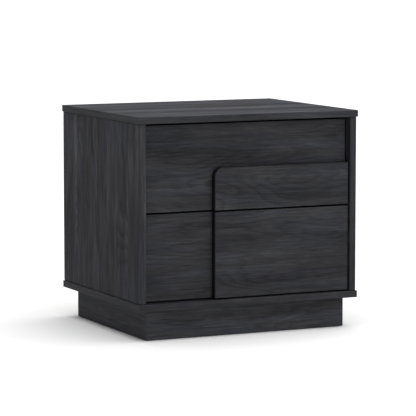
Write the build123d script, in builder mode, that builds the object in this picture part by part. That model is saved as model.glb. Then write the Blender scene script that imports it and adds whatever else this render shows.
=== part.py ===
"""Nightstand with two drawers, built from flat boards on a recessed plinth.

Frame: millimetres, +Z up, the front faces -Y, origin on the floor under the middle of the case.
Every board, runner, cage and fitting is its own solid, written to parts/ under its node name.
"""

import os

from build123d import *

os.makedirs("parts", exist_ok=True)

# ---------------------------------------------------------------- driving dimensions
# Overall size, over the top panel
width = 574.0
depth = 470.0
height = 525.0
board = 16.0                # case boards
glide_stand = 1.5           # how far the floor glides lift the plinth

# Case
side_inset = 3.0            # sides set in from the ends of the top and bottom panels
side_front_inset = 3.5      # and from their front edges
plinth_height = 71.0
plinth_inset_ends = 26.5
plinth_inset_front = 23.0
plinth_inset_back = 32.0
corner_block = 35.0

# Back panel, slid into grooves
back_thickness = 3.0
groove_width = 3.2
groove_depth = 6.0
back_setback = 8.0          # rear edge of the case to the groove
groove_end_gap = 0.2        # panel edge to groove bottom

# Drawer fronts: a full base board with a proud overlay board on its right part
front_thickness = 16.0
overlay_thickness = 16.0
overlay_recess = 4.5        # overlay face behind the front edges of the sides
front_side_gap = 3.5
gap_below = 3.5
gap_between = 4.5
gap_above = 5.5
overlay_left = -88.0        # x of the overlay board's left edge
upper_overlay_height = 99.0
edge_band = 2.0             # black edge band on the grip edges of the overlay
overlay_corner_radius = 20.0

# Drawer boxes
box_board = 12.0
box_length = 400.0
box_height = 140.0
box_raise = 15.0            # box above the lower edge of its front
bottom_thickness = 3.0
bottom_raise = 10.0         # drawer bottom's groove above the lower edge of the box

# Ball-bearing runners: u runs from the case wall to the drawer wall, v up and down
runner_thickness = 12.7
runner_length = 400.0
runner_front_gap = 2.0
runner_height_in_box = 70.0  # runner centre above the lower edge of the box
sheet = 1.2
ball_radius = 2.0
race_radius = 2.05
outer_ball_u, outer_ball_v = 6.0, 19.5
inner_ball_u, inner_ball_v = 7.6, 14.25
cage_start = -60.0
cage_length = 150.0
balls_per_row = 6
lever_pivot, lever_tip = 44.0, -22.0    # release lever in the drawer runner, along y
lever_thickness = 2.6
lever_bar = 3.8

# Fittings
cam_radius, cam_depth, cam_reach = 7.5, 12.7, 34.0
small_cam_radius, small_cam_depth, small_cam_reach = 6.0, 9.6, 24.0
bolt_radius, bolt_hole_depth = 3.0, 11.3
dowel_radius, dowel_length, dowel_hole_in_panel = 4.0, 30.0, 11.5
fit = 0.05                  # radial clearance of a fitting in its hole
screw_radius = 1.75

# ---------------------------------------------------------------- derived places
x_side_outer = width / 2 - side_inset
x_side_inner = x_side_outer - board
x_side_middle = x_side_inner + board / 2
y_front, y_back = -depth / 2, depth / 2
y_side_front = y_front + side_front_inset
z_plinth_top = glide_stand + plinth_height
z_case_floor = z_plinth_top + board
z_case_ceiling = height - board

y_groove_back = y_back - back_setback
y_groove_front = y_groove_back - groove_width

front_height = (z_case_ceiling - z_case_floor - gap_below - gap_between - gap_above) / 2
x_front_half = x_side_inner - front_side_gap
y_overlay_face = y_side_front + overlay_recess
y_base_face = y_overlay_face + overlay_thickness
y_box_front = y_base_face + front_thickness
y_box_back = y_box_front + box_length
x_box_outer = x_side_inner - runner_thickness
x_box_inner = x_box_outer - box_board
x_box_middle = x_box_inner + box_board / 2

z_lower_front = z_case_floor + gap_below
z_upper_front = z_lower_front + front_height + gap_between
levels = {"lower": z_lower_front, "upper": z_upper_front}
sides = {"left": -1, "right": 1}

y_runner_front = y_box_front + runner_front_gap

case_cam_places = (-180.0, 180.0)      # along y
case_dowel_places = (-115.0, 115.0)
box_fitting_heights = (28.0, 112.0)    # above the lower edge of the box
case_screw_places = (-150.0, 5.0, 160.0)
box_screw_places = (-150.0, -45.0, 150.0)
overlay_screw_columns = (-50.0, 225.0)
overlay_screw_rows = {"lower": (45.0, 145.0), "upper": (45.0, 82.0)}

x_block = width / 2 - plinth_inset_ends - board - corner_block / 2
y_block_front = y_front + plinth_inset_front + board + corner_block / 2
y_block_back = y_back - plinth_inset_back - board - corner_block / 2


# ---------------------------------------------------------------- small helpers
def block(x_a, x_b, y_a, y_b, z_a, z_b, mode=Mode.ADD):
    """A box between two corners, in the part being built."""
    with Locations(((x_a + x_b) / 2, (y_a + y_b) / 2, (z_a + z_b) / 2)):
        Box(abs(x_b - x_a), abs(y_b - y_a), abs(z_b - z_a), mode=mode)


def drill(points, direction, radius, hole_depth):
    """Blind holes from each point along a direction, in the part being built."""
    for point in points:
        with Locations(Plane(origin=point, z_dir=direction)):
            Cylinder(radius, hole_depth, align=(Align.CENTER, Align.CENTER, Align.MIN), mode=Mode.SUBTRACT)


def countersink(points, direction, head_radius, shank_radius, cone_height):
    """Conical seats for flat-head screws, in the part being built."""
    for point in points:
        with Locations(Plane(origin=point, z_dir=direction)):
            Cone(head_radius, shank_radius, cone_height,
                 align=(Align.CENTER, Align.CENTER, Align.MIN), mode=Mode.SUBTRACT)


def write(part, name):
    """Labels a finished piece and writes its STEP file."""
    part.label = name
    export_step(part, f"parts/{name}.step")


def group(master, planes):
    """Copies of one fitting as separate solids of one part."""
    with BuildPart() as copies:
        with Locations(*planes):
            add(master)
    return copies.part


# ---------------------------------------------------------------- fittings, each about its own axis
def cam_lock(radius, thickness, bolt_depth, bore_radius):
    """Cam housing: +Z runs into the board from its face, +X towards the bolt."""
    with BuildPart() as cam:
        Cylinder(radius - fit, thickness, align=(Align.CENTER, Align.CENTER, Align.MIN))
        with Locations(Plane(origin=(-bore_radius, 0, bolt_depth), z_dir=(1, 0, 0))):
            Cylinder(bore_radius, 3 * radius, align=(Align.CENTER, Align.CENTER, Align.MIN), mode=Mode.SUBTRACT)
        block(-0.6 * radius, 0.6 * radius, -0.8, 0.8, 0, 1.8, Mode.SUBTRACT)
        block(-0.8, 0.8, -0.6 * radius, 0.6 * radius, 0, 1.8, Mode.SUBTRACT)
    return cam.part


def cam_bolt(reach, shank_radius, collar_radius):
    """Cam bolt: thread below Z = 0 in the mating board, head at the cam's centre."""
    neck_start, head_start, head_end = reach - 10, reach - 3, reach + 1
    neck_radius = shank_radius - 1
    with BuildPart() as bolt:
        with BuildSketch(Plane.XZ):
            with BuildLine():
                Polyline(
                    (0, -bolt_hole_depth + 0.3), (bolt_radius - 0.8, -bolt_hole_depth + 0.3),
                    (bolt_radius, -bolt_hole_depth + 1.3), (bolt_radius, 0), (collar_radius, 0),
                    (collar_radius, 2), (shank_radius, 2), (shank_radius, neck_start),
                    (neck_radius, neck_start + 1), (neck_radius, head_start), (shank_radius, head_start),
                    (shank_radius, head_end - 1), (shank_radius - 1, head_end), (0, head_end), close=True,
                )
            make_face()
        revolve(axis=Axis.Z)
    return bolt.part


def flat_head_screw(length, head_radius, cone_height, recess=1.0):
    """Countersunk screw: head face at Z = 0, shank along +Z, with a cross recess."""
    with BuildPart() as screw:
        with BuildSketch(Plane.XZ):
            with BuildLine():
                Polyline((0, 0), (head_radius, 0), (screw_radius, cone_height),
                         (screw_radius, length - 3), (0, length), close=True)
            make_face()
        revolve(axis=Axis.Z)
        arm = 0.6 * head_radius
        block(-arm, arm, -0.35, 0.35, 0, recess, Mode.SUBTRACT)
        block(-0.35, 0.35, -arm, arm, 0, recess, Mode.SUBTRACT)
    return screw.part


case_cam = cam_lock(cam_radius, cam_depth - 0.1, board / 2, 3.7)
case_bolt = cam_bolt(cam_reach, 3.0, 3.7)
box_cam = cam_lock(small_cam_radius, small_cam_depth - 0.1, box_board / 2, 3.1)
box_bolt = cam_bolt(small_cam_reach, 2.6, 3.1)

runner_screw = flat_head_screw(11.5, 2.9, sheet - fit)       # cone ends at the board face
board_screw = flat_head_screw(28.0, 3.6, 1.9)
plinth_screw = flat_head_screw(50.0, 4.2, 2.4)

with BuildPart() as dowel:
    Cylinder(dowel_radius - fit, dowel_length)
    chamfer(dowel.edges().filter_by(GeomType.CIRCLE), 1.0)

with BuildPart() as glide:
    with BuildSketch(Plane.XZ):
        with BuildLine():
            Polyline((0, 0), (9, 0), (11, 1.2), (11, glide_stand), (1.25, glide_stand),
                     (1.25, glide_stand + 12), (0, glide_stand + 15), close=True)
        make_face()
    revolve(axis=Axis.Z)

# ---------------------------------------------------------------- top and bottom panels
cam_points = [(side * x_side_middle, y) for side in sides.values() for y in case_cam_places]
dowel_points = [(side * x_side_middle, y) for side in sides.values() for y in case_dowel_places]
block_points = [(sx * x_block, y) for sx in sides.values() for y in (y_block_front, y_block_back)]
x_groove_end = x_side_inner + groove_depth

with BuildPart() as top_panel:
    block(-width / 2, width / 2, y_front, y_back, z_case_ceiling, height)
    drill([(x, y, z_case_ceiling) for x, y in cam_points], (0, 0, 1), bolt_radius + fit, bolt_hole_depth)
    drill([(x, y, z_case_ceiling) for x, y in dowel_points], (0, 0, 1), dowel_radius, dowel_hole_in_panel)
    block(-x_groove_end, x_groove_end, y_groove_front, y_groove_back,
          z_case_ceiling, z_case_ceiling + groove_depth, Mode.SUBTRACT)
write(top_panel.part, "top_panel")

with BuildPart() as bottom_panel:
    block(-width / 2, width / 2, y_front, y_back, z_plinth_top, z_case_floor)
    drill([(x, y, z_case_floor) for x, y in cam_points], (0, 0, -1), bolt_radius + fit, bolt_hole_depth)
    drill([(x, y, z_case_floor) for x, y in dowel_points], (0, 0, -1), dowel_radius, dowel_hole_in_panel)
    drill([(x, y, z_case_floor) for x, y in block_points], (0, 0, -1), screw_radius + fit, board)
    countersink([(x, y, z_case_floor) for x, y in block_points], (0, 0, -1),
                4.2 + fit, screw_radius + fit, 2.4 + fit)
    block(-x_groove_end, x_groove_end, y_groove_front, y_groove_back,
          z_case_floor - groove_depth, z_case_floor, Mode.SUBTRACT)
write(bottom_panel.part, "bottom_panel")


# ---------------------------------------------------------------- side panels
def make_side_panel(side):
    """Side panel with cam housings, dowel holes, the back groove and pilot holes for the runners."""
    wall = side * x_side_inner
    with BuildPart() as panel:
        block(wall, side * x_side_outer, y_side_front, y_back, z_case_floor, z_case_ceiling)
        for z_end, inward in ((z_case_ceiling, -1), (z_case_floor, 1)):
            cam_z = z_end + inward * cam_reach
            drill([(wall, y, cam_z) for y in case_cam_places], (side, 0, 0), cam_radius, cam_depth)
            drill([(side * x_side_middle, y, z_end) for y in case_cam_places],
                  (0, 0, inward), 4.0, cam_reach)
            drill([(side * x_side_middle, y, z_end) for y in case_dowel_places],
                  (0, 0, inward), dowel_radius, dowel_length - dowel_hole_in_panel + 1)
        block(wall, side * x_groove_end, y_groove_front, y_groove_back,
              z_case_floor, z_case_ceiling, Mode.SUBTRACT)
        for z_front in levels.values():
            z_runner = z_front + box_raise + runner_height_in_box
            drill([(wall, y, z_runner) for y in case_screw_places], (side, 0, 0), screw_radius + fit, 11.0)
    return panel.part


for side_name, side in sides.items():
    write(make_side_panel(side), f"{side_name}_side_panel")

# ---------------------------------------------------------------- back panel
with BuildPart() as back_panel:
    reach = groove_depth - groove_end_gap
    y_middle = (y_groove_front + y_groove_back) / 2
    block(-x_side_inner - reach, x_side_inner + reach,
          y_middle - back_thickness / 2, y_middle + back_thickness / 2,
          z_case_floor - reach, z_case_ceiling + reach)
write(back_panel.part, "back_panel")

# ---------------------------------------------------------------- plinth
x_plinth = width / 2 - plinth_inset_ends
y_plinth_front = y_front + plinth_inset_front
y_plinth_back = y_back - plinth_inset_back

with BuildPart() as plinth_front_rail:
    with BuildSketch(Plane.XY.offset(glide_stand)):
        with BuildLine():
            Polyline((-x_plinth, y_plinth_front), (x_plinth, y_plinth_front),
                     (x_plinth - board, y_plinth_front + board),
                     (-x_plinth + board, y_plinth_front + board), close=True)
        make_face()
    extrude(amount=plinth_height)
write(plinth_front_rail.part, "plinth_front_rail")

for side_name, side in sides.items():
    with BuildPart() as plinth_rail:
        with BuildSketch(Plane.XY.offset(glide_stand)):
            with BuildLine():
                Polyline((side * x_plinth, y_plinth_front), (side * x_plinth, y_plinth_back),
                         (side * (x_plinth - board), y_plinth_back),
                         (side * (x_plinth - board), y_plinth_front + board), close=True)
            make_face()
        extrude(amount=plinth_height)
    write(plinth_rail.part, f"plinth_{side_name}_rail")

with BuildPart() as plinth_back_rail:
    block(-x_plinth + board, x_plinth - board, y_plinth_back - board, y_plinth_back,
          glide_stand, z_plinth_top)
write(plinth_back_rail.part, "plinth_back_rail")

with BuildPart() as plinth_corner_blocks:
    for x, y in block_points:
        block(x - corner_block / 2, x + corner_block / 2, y - corner_block / 2, y + corner_block / 2,
              glide_stand, z_plinth_top)
    drill([(x, y, z_plinth_top) for x, y in block_points], (0, 0, -1), screw_radius + fit, 40.0)
    drill([(x, y, glide_stand) for x, y in block_points], (0, 0, 1), 1.25 + fit, 16.0)
write(plinth_corner_blocks.part, "plinth_corner_blocks")

write(group(plinth_screw, [Plane(origin=(x, y, z_case_floor), z_dir=(0, 0, -1)) for x, y in block_points]),
      "plinth_screws")
write(group(glide.part, [Plane(origin=(x, y, 0)) for x, y in block_points]), "floor_glides")

# ---------------------------------------------------------------- case fittings
case_cam_planes = []
case_bolt_planes = []
case_dowel_planes = []
for z_end, inward in ((z_case_ceiling, -1), (z_case_floor, 1)):
    for side in sides.values():
        for y in case_cam_places:
            case_cam_planes.append(Plane(origin=(side * x_side_inner, y, z_end + inward * cam_reach),
                                         x_dir=(0, 0, -inward), z_dir=(side, 0, 0)))
            case_bolt_planes.append(Plane(origin=(side * x_side_middle, y, z_end), z_dir=(0, 0, inward)))
        for y in case_dowel_places:
            middle = z_end + inward * (dowel_length / 2 - dowel_hole_in_panel + 0.5)
            case_dowel_planes.append(Plane(origin=(side * x_side_middle, y, middle)))
write(group(case_cam, case_cam_planes), "case_cam_locks")
write(group(case_bolt, case_bolt_planes), "case_cam_bolts")
write(group(dowel.part, case_dowel_planes), "case_dowels")


# ---------------------------------------------------------------- runners
def runner_profile(kind):
    """Boxes (u0, u1, v0, v1) for one half of a runner's section, and the ball races cut in it."""
    if kind == "cabinet":
        return [(0, sheet, 0, 22.8), (0, 9.6, 21.15, 22.8), (8.4, 9.6, 20.0, 22.8)], ["outer"]
    if kind == "middle":
        return [(2.5, 3.7, 0, 17.85), (2.5, 10.8, 15.9, 17.85), (9.8, 10.8, 14.9, 17.85)], ["outer", "inner"]
    return [(runner_thickness - sheet, runner_thickness, 0, 12.6), (5.0, runner_thickness, 11.0, 12.6)], ["inner"]


race_centres = {"outer": (outer_ball_u, outer_ball_v), "inner": (inner_ball_u, inner_ball_v)}


def make_runner(kind, side, z_runner, length):
    """One rolled channel of a runner, with its ball races and, at its web, the screw seats."""
    plates, races = runner_profile(kind)
    wall = side * x_side_inner
    y_end = y_runner_front + length
    with BuildPart() as runner:
        for half in (1, -1):
            for u0, u1, v0, v1 in plates:
                block(wall - side * u0, wall - side * u1, y_runner_front, y_end,
                      z_runner + half * v0, z_runner + half * v1)
        for half in (1, -1):
            for race in races:
                u, v = race_centres[race]
                drill([(wall - side * u, y_runner_front, z_runner + half * v)],
                      (0, 1, 0), race_radius, length)
        if kind == "cabinet":
            seats = [(wall - side * sheet, y, z_runner) for y in case_screw_places]
            drill(seats, (side, 0, 0), screw_radius + fit, sheet)
            countersink(seats, (side, 0, 0), 2.9 + fit, screw_radius + fit, sheet)
        if kind == "drawer":
            seats = [(wall - side * (runner_thickness - sheet), y, z_runner) for y in box_screw_places]
            drill(seats, (-side, 0, 0), screw_radius + fit, sheet)
            countersink(seats, (-side, 0, 0), 2.9 + fit, screw_radius + fit, sheet)
    return runner.part


cages = {   # plate u range, tab tip u, tab v range
    "outer": ((1.5, 2.2), 9.3, (19.2, 19.8)),
    "inner": ((3.95, 4.5), 10.6, (13.95, 14.55)),
}


def ball_places(kind, z_runner):
    """Centres of the balls of one kind of cage, on both sides of the drawer."""
    u, v = race_centres[kind]
    pitch = cage_length / balls_per_row
    return [(side * (x_side_inner - u), cage_start + (n + 0.5) * pitch, z_runner + half * v)
            for side in sides.values() for half in (1, -1) for n in range(balls_per_row)]


def make_cages(kind, z_runner):
    """Left and right ball cages: a thin strip with a holed tab along each ball row."""
    (u0, u1), u_tip, (v0, v1) = cages[kind]
    y_end = cage_start + cage_length
    with BuildPart() as cage:
        for side in sides.values():
            wall = side * x_side_inner
            block(wall - side * u0, wall - side * u1, cage_start, y_end, z_runner - v1, z_runner + v1)
            for half in (1, -1):
                block(wall - side * u0, wall - side * u_tip, cage_start, y_end,
                      z_runner + half * v0, z_runner + half * v1)
        drill([(x, y, z - 1) for x, y, z in ball_places(kind, z_runner)], (0, 0, 1), ball_radius + fit, 2)
    return cage.part


def make_balls(kind, z_runner):
    """The loose steel balls of both cages of one kind."""
    with BuildPart() as balls:
        with Locations(*ball_places(kind, z_runner)):
            Sphere(ball_radius)
    return balls.part


def make_release_levers(z_runner):
    """Plastic levers inside the drawer runners: a pivot boss, a thin bar and a finger tab at its tip."""
    with BuildPart() as levers:
        for side in sides.values():
            x_web = side * (x_side_inner - runner_thickness + sheet)
            with BuildSketch(Plane(origin=(x_web, 0, z_runner), x_dir=(0, 1, 0), z_dir=(side, 0, 0))):
                with Locations((lever_pivot, 0)):
                    Circle(1.3 * lever_bar)
                with Locations(((lever_pivot + lever_tip) / 2, 0)):
                    Rectangle(lever_pivot - lever_tip, lever_bar)
                with Locations((lever_tip, lever_bar / 2)):
                    SlotOverall(4 * lever_bar, 2 * lever_bar)
            extrude(amount=lever_thickness)
    return levers.part


cabinet_screw_planes = []
for level, z_front in levels.items():
    z_runner = z_front + box_raise + runner_height_in_box
    for side_name, side in sides.items():
        write(make_runner("cabinet", side, z_runner, runner_length), f"{level}_{side_name}_cabinet_runner")
        write(make_runner("middle", side, z_runner, runner_length - 6), f"{level}_{side_name}_middle_runner")
        write(make_runner("drawer", side, z_runner, runner_length - 4), f"{level}_{side_name}_drawer_runner")
        cabinet_screw_planes += [
            Plane(origin=(side * (x_side_inner - sheet + fit), y, z_runner), z_dir=(side, 0, 0))
            for y in case_screw_places]
    write(make_release_levers(z_runner), f"{level}_release_levers")
    for kind in cages:
        write(make_cages(kind, z_runner), f"{level}_{kind}_ball_cages")
        write(make_balls(kind, z_runner), f"{level}_{kind}_balls")
write(group(runner_screw, cabinet_screw_planes), "cabinet_runner_screws")


# ---------------------------------------------------------------- drawer fronts
def overlay_outline(level, z_front, grow):
    """Face of an overlay, seen from the front, grown by the edge band on its grip edges."""
    top = z_front + (upper_overlay_height if level == "upper" else front_height)
    left = overlay_left - grow
    with BuildSketch(Plane(origin=(0, y_base_face, 0), x_dir=(1, 0, 0), z_dir=(0, -1, 0))) as outline:
        with BuildLine():
            if level == "upper":
                top += grow
                radius = overlay_corner_radius + grow
                Line((left, z_front), (left, top - radius))
                RadiusArc((left, top - radius), (left + radius, top), radius)
                Line((left + radius, top), (x_front_half, top))
            else:
                Polyline((left, z_front), (left, top), (x_front_half, top))
            Polyline((x_front_half, top), (x_front_half, z_front), (left, z_front))
        make_face()
    return outline.sketch


def make_overlay(level, z_front):
    """Proud overlay board, with blind pilot holes for its screws in its back face."""
    face = overlay_outline(level, z_front, 0)
    points = [(x, y_base_face, z_front + row) for x in overlay_screw_columns for row in overlay_screw_rows[level]]
    with BuildPart() as overlay:
        extrude(face, amount=overlay_thickness)
        drill(points, (0, -1, 0), screw_radius + fit, 13.0)
    return overlay.part


def make_edge_band(level, z_front):
    """Black band along the grip edges of the overlay: its left edge and, on the upper one, its top."""
    outside = overlay_outline(level, z_front, edge_band)
    inside = overlay_outline(level, z_front, 0)
    with BuildPart() as band:
        extrude(outside, amount=overlay_thickness)
        extrude(inside, amount=overlay_thickness, mode=Mode.SUBTRACT)
    return band.part


def make_drawer_front(level, z_front):
    """Base board of a drawer front, with cam-bolt holes, the bottom's groove and the overlay's screw holes."""
    z_box = z_front + box_raise
    z_groove = z_box + bottom_raise
    bolts = [(side * x_box_middle, y_box_front, z_box + rise)
             for side in sides.values() for rise in box_fitting_heights]
    screws = [(x, y_box_front, z_front + row) for x in overlay_screw_columns for row in overlay_screw_rows[level]]
    with BuildPart() as front:
        block(-x_front_half, x_front_half, y_base_face, y_box_front, z_front, z_front + front_height)
        drill(bolts, (0, -1, 0), bolt_radius + fit, bolt_hole_depth)
        drill(screws, (0, -1, 0), screw_radius + fit, front_thickness)
        countersink(screws, (0, -1, 0), 3.6 + fit, screw_radius + fit, 1.9 + fit)
        block(-x_box_inner - groove_depth, x_box_inner + groove_depth,
              y_box_front - groove_depth, y_box_front, z_groove, z_groove + groove_width, Mode.SUBTRACT)
    return front.part


# ---------------------------------------------------------------- drawer boxes
def make_box_side(side, z_front):
    """Drawer side with cam housings at its front, screw holes at its back and pilot holes for its runner."""
    z_box = z_front + box_raise
    z_groove = z_box + bottom_raise
    outer, inner = side * x_box_outer, side * x_box_inner
    heights = [z_box + rise for rise in box_fitting_heights]
    y_back_board = y_box_back - box_board / 2
    with BuildPart() as box_side:
        block(inner, outer, y_box_front, y_box_back, z_box, z_box + box_height)
        drill([(outer, y_box_front + small_cam_reach, z) for z in heights], (-side, 0, 0),
              small_cam_radius, small_cam_depth)
        drill([(side * x_box_middle, y_box_front, z) for z in heights], (0, 1, 0), 3.4, small_cam_reach)
        drill([(outer, y_back_board, z) for z in heights], (-side, 0, 0), screw_radius + fit, box_board)
        countersink([(outer, y_back_board, z) for z in heights], (-side, 0, 0),
                    3.6 + fit, screw_radius + fit, 1.9 + fit)
        drill([(outer, y, z_box + runner_height_in_box) for y in box_screw_places], (-side, 0, 0),
              screw_radius + fit, 10.8)
        block(inner, inner + side * groove_depth, y_box_front, y_box_back,
              z_groove, z_groove + groove_width, Mode.SUBTRACT)
    return box_side.part


def make_box_back(z_front):
    """Drawer back between the sides, with the bottom's groove and screw holes in its ends."""
    z_box = z_front + box_raise
    z_groove = z_box + bottom_raise
    y_inner = y_box_back - box_board
    with BuildPart() as box_back:
        block(-x_box_inner, x_box_inner, y_inner, y_box_back, z_box, z_box + box_height)
        for side in sides.values():
            drill([(side * x_box_inner, y_box_back - box_board / 2, z_box + rise) for rise in box_fitting_heights],
                  (-side, 0, 0), screw_radius + fit, 19.0)
        block(-x_box_inner, x_box_inner, y_inner, y_inner + groove_depth,
              z_groove, z_groove + groove_width, Mode.SUBTRACT)
    return box_back.part


def make_box_bottom(z_front):
    """Thin drawer bottom, held in the grooves of the front, sides and back."""
    z_middle = z_front + box_raise + bottom_raise + groove_width / 2
    reach = groove_depth - groove_end_gap
    with BuildPart() as box_bottom:
        block(-x_box_inner - reach, x_box_inner + reach, y_box_front - reach, y_box_back - box_board + reach,
              z_middle - bottom_thickness / 2, z_middle + bottom_thickness / 2)
    return box_bottom.part


def make_drawer(level, z_front):
    """Writes every piece of one drawer, apart from its runners' loose members."""
    z_box = z_front + box_raise
    heights = [z_box + rise for rise in box_fitting_heights]
    write(make_drawer_front(level, z_front), f"{level}_drawer_front")
    write(make_overlay(level, z_front), f"{level}_front_overlay")
    write(make_edge_band(level, z_front), f"{level}_overlay_edge_band")
    for name, side in sides.items():
        write(make_box_side(side, z_front), f"{level}_drawer_{name}_side")
    write(make_box_back(z_front), f"{level}_drawer_back")
    write(make_box_bottom(z_front), f"{level}_drawer_bottom")
    both = [(side, z) for side in sides.values() for z in heights]
    write(group(box_cam, [Plane(origin=(side * x_box_outer, y_box_front + small_cam_reach, z),
                                x_dir=(0, -1, 0), z_dir=(-side, 0, 0)) for side, z in both]),
          f"{level}_drawer_cam_locks")
    write(group(box_bolt, [Plane(origin=(side * x_box_middle, y_box_front, z), z_dir=(0, 1, 0))
                           for side, z in both]),
          f"{level}_drawer_cam_bolts")
    back_planes = [Plane(origin=(side * x_box_outer, y_box_back - box_board / 2, z), z_dir=(-side, 0, 0))
                   for side, z in both]
    overlay_planes = [Plane(origin=(x, y_box_front, z_front + row), z_dir=(0, -1, 0))
                      for x in overlay_screw_columns for row in overlay_screw_rows[level]]
    write(group(board_screw, back_planes + overlay_planes), f"{level}_drawer_board_screws")
    x_seat = x_side_inner - runner_thickness + sheet - fit
    write(group(runner_screw, [Plane(origin=(side * x_seat, y, z_box + runner_height_in_box), z_dir=(-side, 0, 0))
                               for side in sides.values() for y in box_screw_places]),
          f"{level}_drawer_runner_screws")


for level, z_front in levels.items():
    make_drawer(level, z_front)
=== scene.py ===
from math import cos, pi, radians, sin

import bmesh
import bpy
from mathutils import Matrix, Vector


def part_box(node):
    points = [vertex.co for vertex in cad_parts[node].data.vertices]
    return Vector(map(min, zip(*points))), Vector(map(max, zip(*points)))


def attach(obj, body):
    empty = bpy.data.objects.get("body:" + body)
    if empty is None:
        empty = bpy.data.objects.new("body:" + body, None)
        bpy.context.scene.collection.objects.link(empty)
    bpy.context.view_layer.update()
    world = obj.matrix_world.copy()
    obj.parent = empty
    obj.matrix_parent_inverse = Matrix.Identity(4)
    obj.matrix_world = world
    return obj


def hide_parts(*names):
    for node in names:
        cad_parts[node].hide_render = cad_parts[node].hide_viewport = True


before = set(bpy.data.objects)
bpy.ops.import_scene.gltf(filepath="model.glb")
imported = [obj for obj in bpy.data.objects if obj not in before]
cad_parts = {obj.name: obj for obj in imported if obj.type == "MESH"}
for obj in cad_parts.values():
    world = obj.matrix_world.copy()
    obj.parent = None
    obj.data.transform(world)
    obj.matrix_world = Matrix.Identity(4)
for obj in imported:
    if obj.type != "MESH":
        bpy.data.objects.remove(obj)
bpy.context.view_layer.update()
levels = ("lower", "upper")
hands = {"left": -1, "right": 1}
printMap = "print"          # the UV map that the printed grain follows

# the camera: angles in radians, distances in metres, lens and sensor in millimetres
shot = {
    "yaw": radians(25.38),
    "pitch": radians(6.36),
    "distance": 6.033,
    "lens": 214.85,
    "aim": Vector((-0.0120, -0.0255, 0.2821)),
    "sensor": 36,
    "clipEnd": 50,
}


def makeCamera(shot):
    yaw, pitch = shot["yaw"], shot["pitch"]
    towards = Vector((sin(yaw) * cos(pitch), cos(yaw) * cos(pitch), -sin(pitch)))
    data = bpy.data.cameras.new("shotCamera")
    data.sensor_width = shot["sensor"]
    data.lens = shot["lens"]
    data.clip_end = shot["clipEnd"]
    camera = bpy.data.objects.new("shotCamera", data)
    camera.location = shot["aim"] - towards * shot["distance"]
    camera.rotation_euler = towards.to_track_quat("-Z", "Y").to_euler()
    bpy.context.scene.collection.objects.link(camera)
    bpy.context.scene.camera = camera


makeCamera(shot)
print("camera set")


# shader maths: a socket that can be added, multiplied and so on
class Wire:
    def __init__(self, finish, socket):
        self.finish = finish
        self.socket = socket

    def __add__(self, other):
        return self.finish.maths("ADD", self, other)

    __radd__ = __add__

    def __sub__(self, other):
        return self.finish.maths("SUBTRACT", self, other)

    def __rsub__(self, other):
        return self.finish.maths("SUBTRACT", other, self)

    def __mul__(self, other):
        return self.finish.maths("MULTIPLY", self, other)

    __rmul__ = __mul__

    def __pow__(self, other):
        return self.finish.maths("POWER", self, other)


def paint(colour):
    return (*colour, 1.0)


class Finish:
    def __init__(self, name):
        self.material = bpy.data.materials.new(name)
        self.material.use_nodes = True
        self.tree = self.material.node_tree
        self.tree.nodes.clear()

    # settings go in first, then the sockets' values and links; out names the output, or several
    def add(self, kind, settings=None, sockets=None, out=0):
        node = self.tree.nodes.new(kind)
        for key, value in (settings or {}).items():
            if key == "stops":
                while len(node.color_ramp.elements) < len(value):
                    node.color_ramp.elements.new(1.0)
                for element, (place, colour) in zip(node.color_ramp.elements, value):
                    element.position = place
                    element.color = paint(colour if isinstance(colour, tuple) else (colour,) * 3)
            else:
                setattr(node, key, value)
        for key, value in (sockets or {}).items():
            if isinstance(value, Wire):
                self.tree.links.new(value.socket, node.inputs[key])
            else:
                node.inputs[key].default_value = value
        if out is None:
            return None
        if isinstance(out, tuple):
            return [Wire(self, node.outputs[one]) for one in out]
        return Wire(self, node.outputs[out])

    def maths(self, operation, first, second=0.0):
        return self.add("ShaderNodeMath", {"operation": operation}, {0: first, 1: second})

    def noise(self, place, stretch, detail=3.0, shift=(0.0, 0.0, 0.0), roughness=0.55):
        moved = self.add("ShaderNodeMapping", {}, {"Vector": place, "Scale": stretch, "Location": shift})
        return self.add("ShaderNodeTexNoise", {"noise_dimensions": "3D"},
                        {"Vector": moved, "Scale": 1.0, "Detail": detail, "Roughness": roughness}, "Fac")

    def spread(self, wire, low, high, toLow=0.0, toHigh=1.0):
        return self.add("ShaderNodeMapRange", {"clamp": True},
                        {"Value": wire, "From Min": low, "From Max": high, "To Min": toLow, "To Max": toHigh})

    def blend(self, factor, first, second):
        return self.add("ShaderNodeMix", {"data_type": "RGBA"}, {0: factor, 6: first, 7: second}, 2)

    def tinted(self, colour, tint):
        return self.add("ShaderNodeMix", {"data_type": "RGBA", "blend_type": "MULTIPLY"},
                        {0: 1.0, 6: colour, 7: paint(tint)}, 2)

    def close(self, colour, roughness, height=None, bump=0.2, reach=0.0002, **shader):
        sockets = {"Base Color": colour, "Roughness": roughness}
        sockets.update({key.replace("_", " "): value for key, value in shader.items()})
        if height is not None:
            sockets["Normal"] = self.add("ShaderNodeBump", {},
                                         {"Height": height, "Strength": bump, "Distance": reach})
        surface = self.add("ShaderNodeBsdfPrincipled", {}, sockets)
        self.add("ShaderNodeOutputMaterial", {}, {"Surface": surface}, None)
        return self.material


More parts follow.
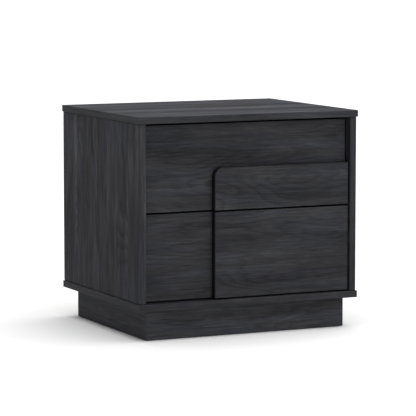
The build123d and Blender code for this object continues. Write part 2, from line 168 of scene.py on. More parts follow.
# noise in the printed paper: stretch is how often it changes in a metre along and across the grain;
# field, streaks and bands take theirs from each laminate's look
printLayers = {
    "drift": {"stretch": (1.9, 6.5, 1.0), "detail": 2.0},
    "wander": {"stretch": (10.0, 38.0, 1.0), "detail": 2.0, "shift": (3.1, 0.7, 0.0)},
    "field": {"detail": 1.0, "shift": (4.2, 1.4, 0.0), "roughness": 0.4},
    "strong": {"stretch": (3.4, 9.0, 1.0), "detail": 1.0, "shift": (7.7, 2.2, 0.0)},
    "streaks": {"detail": 4.0, "shift": (1.7, 5.2, 0.0), "roughness": 0.62},
    "bands": {"detail": 3.0, "shift": (6.3, 2.9, 0.0)},
    "fibres": {"stretch": (32.0, 850.0, 1.0), "detail": 4.0, "shift": (9.9, 4.4, 0.0), "roughness": 0.6},
    "clouds": {"stretch": (10.0, 22.0, 1.0), "detail": 4.0, "shift": (0.4, 8.1, 0.0), "roughness": 0.6},
    "sweeps": {"stretch": (1.7, 15.0, 1.0), "detail": 1.0, "shift": (8.8, 3.3, 0.0)},
    "pores": {"stretch": (60.0, 1700.0, 1.0), "detail": 1.0, "shift": (2.2, 6.6, 0.0)},
    "tint": {"stretch": (5.0, 30.0, 1.0), "detail": 2.0, "shift": (5.5, 1.3, 0.0)},
}
printShape = {
    "patches": (0.38, 0.62),    # where one patch of noise gives way to the next
    "faintest": 0.35,           # strength of the rings where they fade
    "ringRise": 2.0, "ringFall": 0.86, "ringMean": 0.15,
    "pores": (0.60, 0.74),
    "bumpReach": 0.00012,
}


# printed oak-grain paper: the print lies along U, in metres
def makeLaminate(name, look):
    finish = Finish(name)
    place = finish.add("ShaderNodeUVMap", {"uv_map": printMap})
    along, across = finish.add("ShaderNodeSeparateXYZ", {}, {"Vector": place}, ("X", "Y"))
    drift = finish.noise(place, **printLayers["drift"]) - 0.5
    wander = finish.noise(place, **printLayers["wander"]) - 0.5
    warped = across + drift * look["drift"] + wander * look["wander"]
    bent = finish.add("ShaderNodeCombineXYZ", {}, {"X": along, "Y": warped})

    # flat-sawn figure: the rings are contour lines of one long soft field, so they close in eyes and arches
    field = finish.noise(bent, look["fieldStretch"], **printLayers["field"])
    cycle = finish.maths("FRACT", field * look["ringCount"] + wander * look["ringWander"])
    rings = cycle ** printShape["ringRise"] * (1.0 - finish.spread(cycle, printShape["ringFall"], 1.0))
    patches = finish.noise(place, **printLayers["strong"])
    strong = finish.spread(patches, *printShape["patches"], printShape["faintest"], 1.0)

    streaks = finish.noise(bent, look["streakStretch"], **printLayers["streaks"])
    bands = finish.noise(bent, look["bandStretch"], **printLayers["bands"])
    fibres = finish.noise(bent, **printLayers["fibres"])
    clouds = finish.noise(place, **printLayers["clouds"])
    sweeps = finish.noise(bent, **printLayers["sweeps"])
    pores = finish.spread(finish.noise(bent, **printLayers["pores"]), *printShape["pores"])

    tone = (
        0.5
        + (streaks - 0.5) * look["streaks"]
        + (bands - 0.5) * look["bands"]
        - (rings * strong - printShape["ringMean"]) * look["figure"]
        + (fibres - 0.5) * look["fibres"]
        + (clouds - 0.5) * look["clouds"]
        + (sweeps - 0.5) * look["sweeps"]
        - pores * look["pores"]
    )
    shade = finish.spread(tone, 0.0, 1.0)
    grey = finish.add("ShaderNodeValToRGB", {"stops": look["ramp"]}, {"Fac": shade}, "Color")
    tint = finish.spread(finish.noise(place, **printLayers["tint"]), *printShape["patches"])
    cool = finish.tinted(grey, look["cool"])
    warm = finish.tinted(grey, look["warm"])
    roughness = finish.spread(fibres + clouds * 0.4, 0.4, 1.0, look["roughness"] - 0.06,
                              look["roughness"] + 0.08)
    height = fibres * 0.5 + streaks * 0.3 - pores * 0.9
    return finish.close(finish.blend(tint, cool, warm), roughness, height, look["bump"],
                        printShape["bumpReach"], Specular_IOR_Level=look["gloss"])


# the ramps are linear greys, dark to light
laminateLook = {
    "drift": 0.013, "wander": 0.0018, "ringWander": 0.75,
    "fieldStretch": (2.2, 10.0, 1.0), "ringCount": 21.0, "streakStretch": (8.5, 250.0, 1.0),
    "bandStretch": (3.4, 46.0, 1.0), "streaks": 0.85, "bands": 0.60, "sweeps": 0.55, "clouds": 0.45,
    "figure": 0.22, "fibres": 0.75, "pores": 0.18,
    "ramp": [(0.0, 0.0072), (0.35, 0.0168), (0.65, 0.0290), (1.0, 0.0570)],
    "cool": (0.98, 1.01, 1.20), "warm": (1.02, 1.02, 1.09),
    "roughness": 0.58, "gloss": 0.05, "bump": 0.30,
}
# the side panels' print runs a shade darker than the fronts': painted shade, a shaded copy of the one
# laminate
sidePaintedShadeLaminateLook = {
    **laminateLook, "bandStretch": (4.5, 40.0, 1.0), "streaks": 1.0, "bands": 1.3, "clouds": 0.75,
    "figure": 0.45, "cool": (0.97, 1.00, 1.30), "warm": (1.03, 1.02, 1.12),
    "ramp": [(0.0, 0.0067), (0.35, 0.0153), (0.65, 0.0265), (1.0, 0.0525)],
}
# the top's print, also on the bottom panel, runs a shade lighter than the fronts': painted light, a lit copy
# of the one laminate
topPaintedLightLaminateLook = {
    **laminateLook, "sweeps": 1.4, "bands": 0.9, "clouds": 0.7,
    "cool": (0.97, 1.00, 1.30), "warm": (1.03, 1.02, 1.12),
    "ramp": [(0.0, 0.0083), (0.35, 0.0191), (0.65, 0.0331), (1.0, 0.0660)],
}
# the plinth's print runs much lighter than the fronts': painted light that lifts the shade under the bottom
# panel's overhang
plinthPaintedLightLaminateLook = {
    **laminateLook, "ramp": [(0.0, 0.0095), (0.35, 0.0220), (0.65, 0.0382), (1.0, 0.0755)],
}
bandLook = {
    **laminateLook, "figure": 0.10, "streaks": 1.0, "bands": 0.8, "clouds": 0.5,
    "streakStretch": (4.0, 150.0, 1.0), "drift": 0.004,
    "ramp": [(0.0, 0.0098), (0.35, 0.0187), (0.65, 0.0298), (1.0, 0.0520)], "roughness": 0.52,
}
insideLook = {
    **laminateLook, "figure": 0.15, "clouds": 0.25, "streaks": 0.5, "bands": 0.35, "sweeps": 0.1,
    "ramp": [(0.0, 0.052), (0.5, 0.070), (1.0, 0.092)],
    "cool": (0.98, 1.00, 1.07), "warm": (1.01, 1.00, 1.02), "roughness": 0.62, "gloss": 0.20,
}
sidePaintedShadeLaminate = makeLaminate("sidePaintedShadeLaminate", sidePaintedShadeLaminateLook)
topPaintedLightLaminate = makeLaminate("topPaintedLightLaminate", topPaintedLightLaminateLook)
frontLaminate = makeLaminate("frontLaminate", laminateLook)
plinthPaintedLightLaminate = makeLaminate("plinthPaintedLightLaminate", plinthPaintedLightLaminateLook)
grainBand = makeLaminate("grainBand", bandLook)
insideLaminate = makeLaminate("insideLaminate", insideLook)


blackBandLook = {"dark": (0.0042, 0.0042, 0.0046), "light": (0.0068, 0.0068, 0.0074),
                 "roughness": (0.38, 0.50), "gloss": 0.12, "bump": 0.12, "bumpReach": 0.00005}


def makeBlackBand(look):
    finish = Finish("blackBand")
    place = finish.add("ShaderNodeTexCoord", out="Object")
    specks = finish.noise(place, (900.0, 900.0, 900.0), 2.0)
    smear = finish.noise(place, (14.0, 60.0, 14.0), 3.0)
    colour = finish.blend(smear, paint(look["dark"]), paint(look["light"]))
    roughness = finish.spread(smear + specks * 0.3, 0.4, 0.9, *look["roughness"])
    return finish.close(colour, roughness, specks, look["bump"], look["bumpReach"],
                        Specular_IOR_Level=look["gloss"])


# raw board where a hole or a groove cuts through the skin
def makeChipCore():
    finish = Finish("chipCore")
    place = finish.add("ShaderNodeTexCoord", out="Object")
    chips = finish.add("ShaderNodeTexVoronoi", {"feature": "F1"},
                       {"Vector": place, "Scale": 420.0, "Randomness": 1.0}, "Color")
    flake = finish.add("ShaderNodeSeparateColor", {}, {"Color": chips}, "Red")
    dust = finish.noise(place, (1500.0, 1500.0, 1500.0), 3.0)
    tone = flake * 0.6 + dust * 0.4
    colour = finish.add("ShaderNodeValToRGB",
                        {"stops": [(0.15, (0.20, 0.125, 0.066)), (0.5, (0.36, 0.25, 0.145)),
                                   (0.9, (0.52, 0.39, 0.245))]}, {"Fac": tone}, "Color")
    return finish.close(colour, finish.spread(dust, 0.3, 0.7, 0.78, 0.92), tone, 0.5, 0.0004)


metalBumpReach = 0.00004


# rolled or turned metal: streaks along one axis, a plated bloom and handling marks
def makeMetal(name, look):
    finish = Finish(name)
    place = finish.add("ShaderNodeTexCoord", out="Object")
    streaks = finish.noise(place, look["stretch"], 3.0)
    bloom = finish.noise(place, (38.0, 22.0, 38.0), 3.0, (4.0, 1.0, 2.0))
    handled = finish.noise(place, (160.0, 60.0, 160.0), 4.0, (7.0, 3.0, 5.0), 0.7)
    marks = finish.spread(handled, 0.58, 0.75)
    tone = finish.spread(streaks * 0.45 + bloom * 0.55, 0.32, 0.68)
    colour = finish.blend(tone, paint(look["dark"]), paint(look["light"]))
    roughness = finish.spread(streaks * 0.6 + bloom * 0.4, 0.3, 0.7, look["roughness"] - 0.07,
                              look["roughness"] + 0.09) + marks * 0.12
    return finish.close(colour, roughness, streaks + marks * 0.4, look["bump"], metalBumpReach, Metallic=1.0)


metalLooks = {
    "runnerSteel": {"stretch": (1500.0, 12.0, 1500.0), "roughness": 0.36, "bump": 0.20,
                    "dark": (0.34, 0.35, 0.37), "light": (0.56, 0.57, 0.58)},
    "cageSteel": {"stretch": (900.0, 20.0, 900.0), "roughness": 0.42, "bump": 0.25,
                  "dark": (0.26, 0.26, 0.28), "light": (0.44, 0.44, 0.46)},
    "ballSteel": {"stretch": (300.0, 300.0, 300.0), "roughness": 0.12, "bump": 0.03,
                  "dark": (0.66, 0.67, 0.69), "light": (0.80, 0.81, 0.82)},
    "fittingSteel": {"stretch": (700.0, 700.0, 700.0), "roughness": 0.30, "bump": 0.15,
                     "dark": (0.42, 0.42, 0.43), "light": (0.66, 0.66, 0.64)},
    "camAlloy": {"stretch": (1100.0, 1100.0, 1100.0), "roughness": 0.46, "bump": 0.45,
                 "dark": (0.36, 0.36, 0.37), "light": (0.52, 0.52, 0.53)},
}
metals = {name: makeMetal(name, look) for name, look in metalLooks.items()}


def makePlastic(name, look):
    finish = Finish(name)
    place = finish.add("ShaderNodeTexCoord", out="Object")
    grain = finish.noise(place, (1400.0, 1400.0, 1400.0), 2.0)
    rubbed = finish.noise(place, (120.0, 40.0, 120.0), 4.0, (2.0, 6.0, 1.0), 0.7)
    scuffs = finish.spread(rubbed, 0.55, 0.75)
    flow = finish.noise(place, (30.0, 30.0, 30.0), 2.0)
    colour = finish.blend(finish.spread(flow + scuffs * 0.4, 0.35, 0.95), paint(look["dark"]),
                          paint(look["light"]))
    roughness = finish.spread(grain * 0.4 + flow * 0.4 + scuffs * 0.5, 0.2, 0.9, look["roughness"] - 0.05,
                              look["roughness"] + 0.12)
    return finish.close(colour, roughness, grain, 0.2, 0.00005)


glideNylon = makePlastic("glideNylon", {"dark": (0.018, 0.018, 0.019), "light": (0.034, 0.034, 0.036),
                                        "roughness": 0.42})
leverPlastic = makePlastic("leverPlastic", {"dark": (0.008, 0.008, 0.009), "light": (0.016, 0.016, 0.017),
                                            "roughness": 0.38})


# raw timber with its grain along Z
def makeTimber(name, look):
    finish = Finish(name)
    place = finish.add("ShaderNodeTexCoord", out="Object")
    sway = finish.noise(place, (20.0, 20.0, 6.0), 2.0) - 0.5
    stretched = finish.add("ShaderNodeMapping", {}, {"Vector": place, "Scale": look["ringStretch"]})
    rings = finish.add("ShaderNodeTexNoise", {"noise_dimensions": "3D"},
                       {"Vector": stretched, "Scale": 1.0, "Detail": 2.0, "Distortion": 0.4}, "Fac")
    fibres = finish.noise(place, (1300.0, 1300.0, 30.0), 3.0)
    tone = finish.spread(rings + sway * 0.3 + (fibres - 0.5) * 0.35, 0.3, 0.7)
    colour = finish.add("ShaderNodeValToRGB", {"stops": look["ramp"]}, {"Fac": tone}, "Color")
    return finish.close(colour, finish.spread(fibres, 0.3, 0.7, 0.62, 0.78), fibres, 0.4, 0.0002)


blockTimber = makeTimber("blockTimber", {
    "ringStretch": (260.0, 90.0, 5.0),
    "ramp": [(0.0, (0.36, 0.22, 0.11)), (0.5, (0.56, 0.39, 0.22)), (1.0, (0.68, 0.50, 0.31))]})
dowelTimber = makeTimber("dowelTimber", {
    "ringStretch": (400.0, 400.0, 12.0),
    "ramp": [(0.0, (0.42, 0.27, 0.15)), (0.5, (0.58, 0.42, 0.26)), (1.0, (0.66, 0.50, 0.33))]})


# pressed wood fibre, smooth on its outer side
def makeHardboard():
    finish = Finish("rawHardboard")
    place = finish.add("ShaderNodeTexCoord", out="Object")
    fibres = finish.noise(place, (800.0, 800.0, 260.0), 4.0, (1.0, 2.0, 3.0), 0.65)
    clumps = finish.noise(place, (90.0, 90.0, 60.0), 4.0, (3.0, 1.0, 6.0))
    stains = finish.noise(place, (7.0, 7.0, 5.0), 3.0, (5.0, 8.0, 2.0))
    tone = fibres * 0.4 + clumps * 0.35 + stains * 0.25
    colour = finish.add("ShaderNodeValToRGB",
                        {"stops": [(0.32, (0.100, 0.056, 0.030)), (0.50, (0.175, 0.105, 0.058)),
                                   (0.68, (0.250, 0.160, 0.092))]}, {"Fac": tone}, "Color")
    roughness = finish.spread(clumps + fibres * 0.3, 0.4, 0.9, 0.50, 0.70)
    return finish.close(colour, roughness, fibres, 0.3, 0.0001)


rawHardboard = makeHardboard()
blackBand = makeBlackBand(blackBandLook)
chipCore = makeChipCore()
print("materials made")


# small distances that the shapes share, in metres
weld = 0.000002             # points closer than this are one point
hair = 0.000001             # two coordinates closer than this are equal
cutTolerance = 0.00001      # points this near a mitre's plane are on it
skinDepth = 0.00005         # a face deeper in a board than this lies in a hole or a groove
sharpAngle = 0.5            # an edge that turns more than this, in radians, is a corner
flatAngle = radians(1)      # faces that turn less than this are one face
creaseAngle = radians(40)   # a finished piece shades flat across an edge that turns more than this
mouthReach = 0.0006         # a fitting whose end is this near a face comes out of it
mouthRise = 0.001           # how far a cutter stands out of the hole's mouth
grooveSlack = 0.0001        # room round a panel in its groove
cutterSteps = 40            # faces round a turned cutter
flatNormal = 0.999          # how square to an axis a broad face is
alongAxis = 0.99            # how nearly parallel to an axis an edge runs


# the shapes are worked in bmesh, each in its place in the frame
def block(low, high):
    shape = bmesh.new()
    bmesh.ops.create_cube(shape, size=1.0)
    bmesh.ops.scale(shape, vec=high - low, verts=shape.verts)
    bmesh.ops.translate(shape, vec=(low + high) / 2, verts=shape.verts)
    return shape


def soften(shape, radius, segments=3, edges=None):
    sharp = [edge for edge in (edges or shape.edges)
             if edge.is_manifold and edge.calc_face_angle() > sharpAngle]
    bmesh.ops.bevel(shape, geom=sharp, offset=radius, offset_type="OFFSET", segments=segments, profile=0.5,
                    affect="EDGES", clamp_overlap=True, material=-1)


def extent(shape):
    corners = list(zip(*(vert.co for vert in shape.verts)))
    return Vector([min(one) for one in corners]), Vector([max(one) for one in corners])


# lowest and highest corner of each separate solid of a CAD node
def solidsOf(node):
    shape = bmesh.new()
    shape.from_mesh(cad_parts[node].data)
    bmesh.ops.remove_doubles(shape, verts=shape.verts, dist=weld)
    left = set(shape.verts)
    found = []
    while left:
        todo = [left.pop()]
        island = []
        while todo:
            vert = todo.pop()
            island.append(vert.co.copy())
            for edge in vert.link_edges:
                other = edge.other_vert(vert)
                if other in left:
                    left.remove(other)
                    todo.append(other)
        found.append((Vector([min(co[i] for co in island) for i in range(3)]),
                      Vector([max(co[i] for co in island) for i in range(3)])))
    shape.free()
    return sorted(found, key=lambda box: tuple(round(value, 5) for value in box[0]))


# a turned cutter: its outline is (distance along the axis, radius), from the mouth inwards
def turned(outline, origin, direction):
    shape = bmesh.new()
    verts = [shape.verts.new((radius, 0.0, depth)) for depth, radius in outline]
    for first, second in zip(verts, verts[1:]):
        shape.edges.new((first, second))
    bmesh.ops.spin(shape, geom=shape.verts[:] + shape.edges[:], cent=(0, 0, 0), axis=(0, 0, 1), angle=2 * pi,
                   steps=cutterSteps, use_merge=True)
    bmesh.ops.remove_doubles(shape, verts=shape.verts, dist=hair)
    bmesh.ops.recalc_face_normals(shape, faces=shape.faces)
    turn = Vector((0, 0, 1)).rotation_difference(Vector(direction)).to_matrix().to_4x4()
    bmesh.ops.transform(shape, matrix=Matrix.Translation(origin) @ turn, verts=shape.verts)
    return shape


def toObject(shape, name, finishes=()):
    mesh = bpy.data.meshes.new(name)
    shape.to_mesh(mesh)
    shape.free()
    for finish in finishes:
        mesh.materials.append(finish)
    made = bpy.data.objects.new(name, mesh)
    bpy.context.scene.collection.objects.link(made)
    return made


def joined(shapes):
    whole = bmesh.new()
    for shape in shapes:
        mesh = bpy.data.meshes.new("part")
        shape.to_mesh(mesh)
        shape.free()
        whole.from_mesh(mesh)
        bpy.data.meshes.remove(mesh)
    return whole


# takes the cutters out of a shape
def carve(shape, cutters):
    if not cutters:
        return shape
    whole = toObject(shape, "uncut")
    knife = toObject(joined(cutters), "knife")
    cut = whole.modifiers.new("cut", "BOOLEAN")
    cut.operation = "DIFFERENCE"
    cut.solver = "EXACT"
    cut.use_self = True
    cut.object = knife
    bpy.context.view_layer.update()
    mesh = bpy.data.meshes.new_from_object(whole.evaluated_get(bpy.context.evaluated_depsgraph_get()))
    carved = bmesh.new()
    carved.from_mesh(mesh)
    bmesh.ops.remove_doubles(carved, verts=carved.verts, dist=weld)
    for one in (whole, knife):
        bpy.data.meshes.remove(one.data)
    bpy.data.meshes.remove(mesh)
    return carved


sideStep = (0.61, 0.173)    # how far the print moves on from one side of a board to the next


# lays the print on each face, along the grain where the face allows it, else along its longer side
def layPrint(shape, grain, shift):
    layer = shape.loops.layers.uv.new(printMap)
    low, high = extent(shape)
    size = high - low
    for face in shape.faces:
        facing = max(range(3), key=lambda axis: abs(face.normal[axis]))
        others = [axis for axis in range(3) if axis != facing]
        along = grain if grain in others else max(others, key=lambda axis: size[axis])
        across = 3 - facing - along
        side = facing * 2 + (face.normal[facing] > 0)
        for loop in face.loops:
            loop[layer].uv = (loop.vert.co[along] + shift[0] + sideStep[0] * side,
                              loop.vert.co[across] + shift[1] + sideStep[1] * side)


# hands a finished shape over as a piece that stands in for its CAD node
def settle(shape, name, body, finishes, node):
    bmesh.ops.recalc_face_normals(shape, faces=shape.faces)
    for face in shape.faces:
        face.smooth = True
    piece = toObject(shape, name, finishes)
    piece.data.set_sharp_from_angle(angle=creaseAngle)
    even = piece.modifiers.new("evenNormals", "WEIGHTED_NORMAL")
    even.keep_sharp = True
    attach(piece, body)
    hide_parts(node)


# a cutter for every solid of a node whose end lies on the board's face; the outline is in metres
def holesFor(node, board, direction, outline):
    low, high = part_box(board)
    axis = max(range(3), key=lambda one: abs(direction[one]))
    inwards = direction[axis] > 0
    cutters = []
    for first, last in solidsOf(node):
        start = (first + last) / 2
        start[axis] = first[axis] if inwards else last[axis]
        face = low[axis] if inwards else high[axis]
        beside = [one for one in range(3) if one != axis]
        within = all(low[one] < start[one] < high[one] for one in beside)
        if abs(start[axis] - face) < mouthReach and within:
            start[axis] = face
            cutters.append(turned(outline, start, direction))
    return cutters


def straightHole(radius, depth):
    return [(-mouthRise, 0.0), (-mouthRise, radius), (depth, radius), (depth, 0.0)]


def screwHole(head, cone, shank, depth):
    return [(-mouthRise, 0.0), (-mouthRise, head), (0.0, head), (cone, shank), (depth, shank), (depth, 0.0)]


# a laminated board: skin on its two broad faces, band on its edges, core in its holes
def makeBoard(name, node, body, look, cutters=(), mitres=()):
    low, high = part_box(node)
    grain = look["grain"]
    shape = block(low, high)
    for point, normal in mitres:
        everything = shape.verts[:] + shape.edges[:] + shape.faces[:]
        cut = bmesh.ops.bisect_plane(shape, geom=everything, dist=cutTolerance, plane_co=point,
                                     plane_no=normal, clear_outer=True)
        rim = [one for one in cut["geom_cut"] if isinstance(one, bmesh.types.BMEdge)]
        bmesh.ops.edgeloop_fill(shape, edges=rim)
    if "endRadius" in look:
        rims = [edge for edge in shape.edges
                if abs(edge.verts[0].co[grain] - edge.verts[1].co[grain]) < hair]
        soften(shape, look["endRadius"], 4, rims)
        along = [edge for edge in shape.edges if edge.calc_length() > (high - low)[grain] / 2]
        soften(shape, look["edgeRadius"], 3, along)
    else:
        soften(shape, look["edgeRadius"])
    shape = carve(shape, list(cutters))
    thin = min(range(3), key=lambda axis: (high - low)[axis])
    reach = look.get("endRadius", look["edgeRadius"]) * 1.05    # a little past the rounded edge
    for face in shape.faces:
        centre = face.calc_center_median()
        depths = [min(centre[axis] - low[axis], high[axis] - centre[axis]) for axis in range(3)]
        onRound = sum(depth < reach for depth in depths) > 1
        if min(depths) > skinDepth and not onRound:
            face.material_index = 2
        elif abs(face.normal[thin]) > flatNormal:
            face.material_index = 0
        else:
            face.material_index = 1
    layPrint(shape, grain, look["shift"])
    settle(shape, name, body, [look["skin"], look["band"], chipCore], node)


# a box-shaped cutter round a thin panel that sits in a groove
def grooveFor(node):
    low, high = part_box(node)
    room = Vector((grooveSlack, grooveSlack, grooveSlack))
    return block(low - room, high + room)


# a CAD node's own shape with the corners longer than least eased; along limits them to one axis
def easedCopy(name, node, body, slot, finish, radius, least, along=None):
    shape = bmesh.new()
    shape.from_mesh(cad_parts[node].data)
    bmesh.ops.remove_doubles(shape, verts=shape.verts, dist=weld)
    bmesh.ops.dissolve_limit(shape, angle_limit=flatAngle, verts=shape.verts, edges=shape.edges)
    corners = []
    for edge in shape.edges:
        run = edge.verts[1].co - edge.verts[0].co
        wanted = along is None or abs(run.normalized()[along]) > alongAxis
        if run.length > least and wanted:
            corners.append(edge)
    soften(shape, radius, 2, corners)
    settle(shape, name, body, [finish], node)


# top and bottom panels, in the top's print with its painted light
panelLook = {"edgeRadius": 0.0009, "grain": 0, "skin": topPaintedLightLaminate, "band": grainBand}
plinthScrew = screwHole(head=0.00425, cone=0.00245, shank=0.0018, depth=0.02)
makeBoard("topPanel", "top_panel", "case", {**panelLook, "shift": (0.30, 0.46)}, [grooveFor("back_panel")])
makeBoard("bottomPanel", "bottom_panel", "case", {**panelLook, "shift": (2.10, 0.91)},
          [grooveFor("back_panel")] + holesFor("plinth_screws", "bottom_panel", (0, 0, -1), plinthScrew))
print("top and bottom panels made")

# side panels, grain upright, in the print with painted shade
sideLook = {"edgeRadius": 0.0010, "endRadius": 0.0022, "grain": 2, "skin": sidePaintedShadeLaminate, "band": grainBand}
caseCam = straightHole(radius=0.0075, depth=0.0127)
for hand, side in hands.items():
    node = f"{hand}_side_panel"
    cams = holesFor("case_cam_locks", node, (side, 0, 0), caseCam)
    makeBoard(f"{hand}SidePanel", node, "case", {**sideLook, "shift": (3.7 + side, 0.33 + 0.2 * side)},
              [grooveFor("back_panel")] + cams)
print("side panels made")

# plinth: a mitred front, square at the back, in the print with painted light
plinthLook = {"edgeRadius": 0.0006, "skin": plinthPaintedLightLaminate, "band": grainBand}
frontLow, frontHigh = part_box("plinth_front_rail")
rightMitre = (Vector((frontHigh.x, frontLow.y, 0)), Vector((1, 1, 0)).normalized())
leftMitre = (Vector((frontLow.x, frontLow.y, 0)), Vector((-1, 1, 0)).normalized())
makeBoard("plinthFrontRail", "plinth_front_rail", "case", {**plinthLook, "grain": 0, "shift": (1.2, 0.27)},
          mitres=[rightMitre, leftMitre])
for hand, (point, normal) in {"left": leftMitre, "right": rightMitre}.items():
    makeBoard(f"plinth{hand.title()}Rail", f"plinth_{hand}_rail", "case",
              {**plinthLook, "grain": 1, "shift": (0.5, 0.7)}, mitres=[(point, -normal)])
makeBoard("plinthBackRail", "plinth_back_rail", "case", {**plinthLook, "grain": 0, "shift": (2.9, 0.15)})
print("plinth made")


# thin back panel: printed inside, raw outside
backLook = {"edgeRadius": 0.0003, "grain": 2, "shift": (0.9, 0.2), "inside": insideLaminate,
            "outside": rawHardboard}


def makeBackPanel(look):
    low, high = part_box("back_panel")
    shape = block(low, high)
    soften(shape, look["edgeRadius"], 1)
    for face in shape.faces:
        face.material_index = 0 if face.normal.y < -flatNormal else 1
    layPrint(shape, look["grain"], look["shift"])
    settle(shape, "backPanel", "case", [look["inside"], look["outside"]], "back_panel")


makeBackPanel(backLook)


# proud overlay board; its grip edges are left square for the black band
gripTilt = 0.02             # how far a grip face turns from square
bandCorner = 1.0            # an edge of the band that turns more than this, in radians, is eased
bandFront = 0.0001          # how near the front it has to be
overlayLook = {"cornerRadius": 0.020, "edgeRadius": 0.0007, "bandRadius": 0.0005, "steps": 18,
               "skin": frontLaminate, "band": grainBand, "grain": 0}


def roundedOverlay(level, look):
    low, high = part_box(f"{level}_front_overlay")
    shape = block(low, high)
    if level == "upper":
        corner = [edge for edge in shape.edges
                  if all(abs(v.co.x - low.x) < hair and abs(v.co.z - high.z) < hair for v in edge.verts)]
        bmesh.ops.bevel(shape, geom=corner, offset=look["cornerRadius"], offset_type="OFFSET",
                        segments=look["steps"], profile=0.5, affect="EDGES", clamp_overlap=True, material=-1)
    return shape


# the left side of an overlay, and on the upper one its top and the corner between
def isGrip(face, level):
    return face.normal.x < -gripTilt or (level == "upper" and face.normal.z > gripTilt)


def makeOverlay(level, look):
    shape = roundedOverlay(level, look)
    shape.normal_update()
    free = [edge for edge in shape.edges if not any(isGrip(face, level) for face in edge.link_faces)]
    soften(shape, look["edgeRadius"], 3, free)
    shape.normal_update()
    for face in shape.faces:
        face.material_index = 0 if abs(face.normal.y) > flatNormal else 1
    layPrint(shape, look["grain"], look["shift"])
    settle(shape, f"{level}Overlay", f"{level}_drawer", [look["skin"], look["band"]],
           f"{level}_front_overlay")


def makeOverlayBand(level, look):
    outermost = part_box(f"{level}_overlay_edge_band")[0]
    shape = roundedOverlay(level, look)
    shape.normal_update()
    others = [face for face in shape.faces if not isGrip(face, level)]
    bmesh.ops.delete(shape, geom=others, context="FACES")
    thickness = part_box(f"{level}_front_overlay")[0].x - outermost.x
    bmesh.ops.solidify(shape, geom=shape.faces[:], thickness=-thickness)    # outwards, off the board's edge
    bmesh.ops.recalc_face_normals(shape, faces=shape.faces)
    outer = [edge for edge in shape.edges if edge.is_manifold and edge.calc_face_angle() > bandCorner
             and all(v.co.y < outermost.y + bandFront for v in edge.verts)]
    soften(shape, look["bandRadius"], 2, outer)
    settle(shape, f"{level}OverlayBand", f"{level}_drawer", [blackBand],
           f"{level}_overlay_edge_band")


# drawers: front, box and overlay
frontLook = {"edgeRadius": 0.0008, "grain": 0, "skin": frontLaminate, "band": grainBand}
boxLook = {"edgeRadius": 0.0006, "skin": insideLaminate, "band": insideLaminate}
boardScrew = screwHole(head=0.00365, cone=0.00195, shank=0.0018, depth=0.0165)
boxCam = straightHole(radius=0.006, depth=0.0096)
prints = {"lower": {"base": (0.05, 0.62), "overlay": (1.62, 0.86)},
          "upper": {"base": (4.20, 0.31), "overlay": (2.75, 0.155)}}
for level in levels:
    body = f"{level}_drawer"
    screws = f"{level}_drawer_board_screws"
    front = f"{level}_drawer_front"
    panel = f"{level}_drawer_bottom"
    makeBoard(f"{level}DrawerFront", front, body, {**frontLook, "shift": prints[level]["base"]},
              [grooveFor(panel)] + holesFor(screws, front, (0, -1, 0), boardScrew))
    overlay = {**overlayLook, "shift": prints[level]["overlay"]}
    makeOverlay(level, overlay)
    makeOverlayBand(level, overlay)
    for hand, side in hands.items():
        node = f"{level}_drawer_{hand}_side"
        holes = (holesFor(f"{level}_drawer_cam_locks", node, (-side, 0, 0), boxCam)
                 + holesFor(screws, node, (-side, 0, 0), boardScrew))
        makeBoard(f"{level}Drawer{hand.title()}Side", node, body,
                  {**boxLook, "grain": 1, "shift": (0.4, 0.3)}, [grooveFor(panel)] + holes)
    makeBoard(f"{level}DrawerBack", f"{level}_drawer_back", body,
              {**boxLook, "grain": 0, "shift": (1.4, 0.6)}, [grooveFor(panel)])
    makeBoard(f"{level}DrawerBottom", panel, body,
              {**boxLook, "edgeRadius": 0.0003, "grain": 1, "shift": (2.2, 0.8)})
print("drawers made")

# runners and release levers, from their CAD shapes with the corners rolled
runnerEase = {"radius": 0.0003, "least": 0.1, "along": 1}
leverEase = {"radius": 0.0004, "least": 0.0002}
for level in levels:
    for hand in hands:
        for kind, body in (("Cabinet", "case"), ("Middle", f"{level}_middle_runners"),
                           ("Drawer", f"{level}_drawer")):
            easedCopy(f"{level}{hand.title()}{kind}Runner", f"{level}_{hand}_{kind.lower()}_runner", body,
                      "runner_steel", metals["runnerSteel"], **runnerEase)
    easedCopy(f"{level}ReleaseLevers", f"{level}_release_levers", f"{level}_drawer", "lever_plastic",
              leverPlastic, **leverEase)
print("runners made")

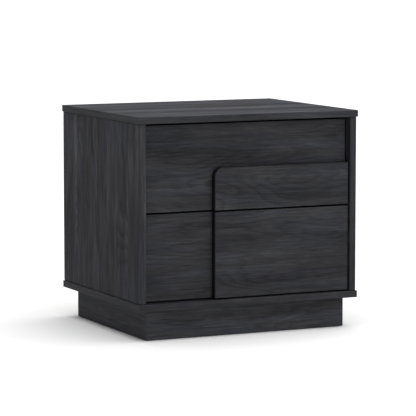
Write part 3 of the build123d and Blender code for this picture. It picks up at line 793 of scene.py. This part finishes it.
# the other CAD nodes keep their shape and get their finish
finishFor = {
    "case_cam_locks": metals["camAlloy"], "case_cam_bolts": metals["fittingSteel"],
    "case_dowels": dowelTimber, "plinth_corner_blocks": blockTimber, "floor_glides": glideNylon,
    "plinth_screws": metals["fittingSteel"], "cabinet_runner_screws": metals["fittingSteel"],
}
for level in levels:
    finishFor.update({
        f"{level}_drawer_cam_locks": metals["camAlloy"],
        f"{level}_drawer_cam_bolts": metals["fittingSteel"],
        f"{level}_drawer_board_screws": metals["fittingSteel"],
        f"{level}_drawer_runner_screws": metals["fittingSteel"],
        f"{level}_outer_ball_cages": metals["cageSteel"],
        f"{level}_inner_ball_cages": metals["cageSteel"],
        f"{level}_outer_balls": metals["ballSteel"],
        f"{level}_inner_balls": metals["ballSteel"],
    })
for node, finish in finishFor.items():
    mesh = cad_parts[node].data
    mesh.materials.clear()
    mesh.materials.append(finish)
print("fittings finished")

# plain pale floor and soft studio light
studio = {"floorSize": 160.0, "floorDark": (0.60,) * 3, "floorLight": (0.61,) * 3, "skyStrength": 0.50}
lamps = {
    "overhead": {"from": (0.16, -0.04, 1.0), "spread": radians(70), "power": 4.6},
    "frontFill": {"from": (0.10, -1.0, 0.10), "spread": radians(40), "power": 1.55},
}


def makeFloor():
    shape = bmesh.new()
    bmesh.ops.create_grid(shape, x_segments=1, y_segments=1, size=studio["floorSize"] / 2)
    finish = Finish("floorPaint")
    place = finish.add("ShaderNodeTexCoord", out="Object")
    soft = finish.noise(place, (1.5, 1.5, 1.5), 2.0)
    colour = finish.blend(soft, paint(studio["floorDark"]), paint(studio["floorLight"]))
    floor = toObject(shape, "floor", [finish.close(colour, finish.spread(soft, 0.3, 0.7, 0.8, 0.9))])


def makeLights():
    scene = bpy.context.scene
    scene.view_settings.view_transform = "Standard"
    world = bpy.data.worlds.new("studioSky")
    world.use_nodes = True
    sky = world.node_tree.nodes["Background"]
    sky.inputs["Color"].default_value = (1.0, 1.0, 1.0, 1.0)
    sky.inputs["Strength"].default_value = studio["skyStrength"]
    scene.world = world
    for name, lamp in lamps.items():
        data = bpy.data.lights.new(name, "SUN")
        data.angle = lamp["spread"]
        data.energy = lamp["power"]
        light = bpy.data.objects.new(name, data)
        light.rotation_euler = Vector(lamp["from"]).to_track_quat("Z", "Y").to_euler()
        scene.collection.objects.link(light)


makeFloor()
makeLights()
print("studio made")
